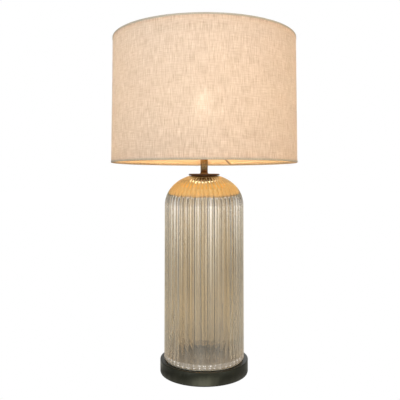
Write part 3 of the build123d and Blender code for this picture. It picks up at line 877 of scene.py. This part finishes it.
def floor_material():
    """Plain white to the camera, pale to the lamp's light, and absent from below, in reflections and
    through glass."""
    paint = Paint("floor").set(Base_Color=(0.36, 0.33, 0.29), Roughness=0.9, Specular_IOR_Level=0.1)
    path = paint.node("LightPath").outputs
    bent = paint.larger(path["Is Glossy Ray"], path["Is Transmission Ray"])
    absent = paint.shader("BsdfTransparent")
    ground = paint.blend(bent, paint.base, absent)
    ground = paint.blend(path["Is Camera Ray"], ground, paint.shader("Emission", Strength=1.0))
    ground = paint.blend(paint.node("NewGeometry").outputs["Backfacing"], ground, absent)
    paint.feed(paint.out.inputs["Surface"], ground)
    return paint.mat


reach = FLOOR_REACH / MM
floor_corners = [(-reach, -reach, 0), (reach, -reach, 0), (reach, reach, 0), (-reach, reach, 0)]
floor = add_mesh("floor", floor_corners, [(0, 1, 2, 3)], False)
dress(floor, floor_material())

# ---- studio round the lamp ----------------------------------------------------------------------
# Turns are shares of a full turn from the front. Heights are 0 straight down, 0.5 level and 1 straight up.
# (turn, width, level) of the upright panels, right half and left half
RIGHT_PANELS = ((0.03, 0.014, 1.0), (0.115, 0.13, 1.6), (0.21, 0.02, 1.2), (0.29, 0.018, 1.2),
                (0.375, 0.018, 0.9))
LEFT_PANELS = ((0.625, 0.018, 0.9), (0.71, 0.018, 1.2), (0.79, 0.02, 1.2), (0.87, 0.10, 1.4),
               (0.96, 0.014, 1.0))
# the rest are (turn, level) or (height, level) stops
PANEL_HEIGHTS = ((0.0, 0.0), (0.36, 0.03), (0.40, 0.18), (0.44, 0.6), (0.49, 1.3), (0.505, 0.9), (0.75, 0.5),
                 (0.88, 0.0))
ROOM_HEIGHTS = ((0.0, 0.05), (0.30, 0.15), (0.345, 0.50), (0.42, 0.85), (0.485, 1.2), (0.56, 0.9),
                (0.8, 0.55), (1.0, 0.42))
ROOM_TURNS = ((0.0, 0.12), (0.3, 0.18), (0.395, 0.28), (0.442, 0.84), (0.558, 0.84), (0.605, 0.28),
              (0.7, 0.18), (1.0, 0.12))
FRONT_TURNS = ((0.0, 1.7), (0.05, 1.1), (0.13, 0.0), (0.87, 0.0), (0.95, 1.1), (1.0, 1.7))
TABLE_HEIGHTS = ((0.0, 1.4), (0.308, 1.4), (0.328, 0.0))
FAR_TURNS = ((0.0, 1.0), (0.28, 1.0), (0.36, 0.0), (0.64, 0.0), (0.72, 1.0), (1.0, 1.0))
PALE_GROUND_HEIGHTS = ((0.0, 0.32), (0.36, 0.32), (0.42, 0.0))
GROUND_HEIGHTS = ((0.0, 0.8), (0.20, 0.7), (0.28, 0.12), (0.322, 0.04), (0.330, 0.35), (0.380, 0.24),
                  (0.42, 0.09), (0.5, 0.0))
OVERHEAD_HEIGHTS = ((0.0, 0.0), (0.70, 0.0), (0.76, 1.1), (0.90, 1.1), (0.93, 0.0))
CEILING_HEIGHTS = ((0.0, 0.0), (0.88, 0.0), (0.93, 1.0), (1.0, 1.0))
CEILING_LEVEL = 0.9
HUES = ((0.0, (1.0, 0.95, 0.82)), (0.44, (1.0, 0.97, 0.88)), (0.50, (0.97, 0.98, 1.0)),
        (0.88, (0.97, 0.98, 1.0)), (0.94, (1.0, 0.60, 0.24)))


def panel_stops(panels):
    """Stops that rise and fall round each panel's middle."""
    stops = [(0.0, 0.0)]
    for middle, width, level in panels:
        for side, height in ((-0.5, 0.0), (-0.25, level), (0.25, level), (0.5, 0.0)):
            stops.append((middle + width * side, height))
    return stops + [(1.0, 0.0)]


def studio():
    """Light from all round by the ray's direction. The camera sees plain white."""
    world = bpy.data.worlds.new("studio")
    bpy.context.scene.world = world
    world.use_nodes = True
    sky = Nodes(world.node_tree)
    rays = sky.node("LightPath").outputs
    axes = sky.node("SeparateXYZ")
    sky.feed(axes.inputs["Vector"], sky.node("TexCoord").outputs["Generated"])
    around = sky.maths("ARCTAN2", axes.outputs["X"], axes.outputs["Y"])
    turn = sky.maths("MULTIPLY_ADD", around, 1 / TAU, 0.5)
    height = sky.maths("MULTIPLY_ADD", axes.outputs["Z"], 0.5, 0.5)
    room = sky.times(sky.ramp(height, ROOM_HEIGHTS), sky.ramp(turn, ROOM_TURNS))
    upright = sky.plus(sky.ramp(turn, panel_stops(RIGHT_PANELS)), sky.ramp(turn, panel_stops(LEFT_PANELS)))
    panels = sky.times(upright, sky.ramp(height, PANEL_HEIGHTS))
    front = sky.ramp(turn, FRONT_TURNS)
    table = sky.times(front, sky.ramp(height, TABLE_HEIGHTS))
    table_in_reflections = sky.times(table, sky.minus(1.0, rays["Is Transmission Ray"]))
    pale_ground = sky.times(sky.ramp(turn, FAR_TURNS), sky.ramp(height, PALE_GROUND_HEIGHTS))
    ground_through_glass = sky.times(pale_ground, rays["Is Transmission Ray"])
    overhead = sky.times(front, sky.ramp(height, OVERHEAD_HEIGHTS))
    ceiling = sky.times(sky.ramp(height, CEILING_HEIGHTS), CEILING_LEVEL)
    glow = sky.plus(room, panels)
    ground = sky.ramp(height, GROUND_HEIGHTS)
    for part in (table_in_reflections, ground_through_glass, ground, overhead, ceiling):
        glow = sky.plus(glow, part)
    background = world.node_tree.nodes["Background"].inputs
    sky.feed(background["Strength"], sky.larger(glow, rays["Is Camera Ray"]))
    sky.feed(background["Color"], sky.between(rays["Is Camera Ray"], sky.ramp(height, HUES), (1, 1, 1)))


studio()

# ---- lights -------------------------------------------------------------------------------------
AIM = Vector((0, 0, 0.32))
WHITE = (1, 1, 1)
# name: (place, width and height, power, colour)
SOFTBOXES = {
    "key": ((-1.05, -1.75, 1.0), (0.9, 1.3), 12.3, (0.95, 1.0, 1.0)),
    "fill": ((1.7, -1.1, 0.9), (0.8, 1.3), 14.5, (1.0, 0.75, 0.46)),
    "rim": ((0.9, 1.6, 1.3), (0.8, 1.2), 12, WHITE),
    "front": ((0.05, -2.2, 0.9), (0.35, 0.9), 7, WHITE),
}


def softbox(name, place, size, power, colour):
    data = bpy.data.lights.new(name, "AREA")
    data.shape = "RECTANGLE"
    data.size, data.size_y = size
    data.energy = power
    data.color = colour
    lamp = bpy.data.objects.new(name, data)
    lamp.location = place
    lamp.rotation_mode = "QUATERNION"
    lamp.rotation_quaternion = (AIM - Vector(place)).to_track_quat("-Z", "Y")
    lamp.visible_glossy = False
    lamp.visible_transmission = False
    bpy.context.scene.collection.objects.link(lamp)


for name, settings in SOFTBOXES.items():
    softbox(name, *settings)

# ---- camera -------------------------------------------------------------------------------------
LENS_MM = 46.62
SENSOR_MM = 36.0
CAMERA_PLACE = (-0.00785, -0.988, 0.3664)
CAMERA_DOWN_DEGREES = 2.2

camera = bpy.data.objects.new("camera", bpy.data.cameras.new("camera"))
camera.data.lens = LENS_MM
camera.data.sensor_width = SENSOR_MM
camera.location = CAMERA_PLACE
camera.rotation_euler = (math.radians(90 - CAMERA_DOWN_DEGREES), 0, 0)
bpy.context.scene.collection.objects.link(camera)
bpy.context.scene.camera = camera

scene = bpy.context.scene
scene.view_settings.view_transform = "Standard"
scene.cycles.use_denoising = True
scene.cycles.max_bounces = 24
scene.cycles.transmission_bounces = 20
scene.cycles.transparent_max_bounces = 40
scene.cycles.diffuse_bounces = 5
scene.cycles.glossy_bounces = 6
scene.cycles.caustics_reflective = False
scene.cycles.caustics_refractive = False
scene.cycles.sample_clamp_indirect = 4.0
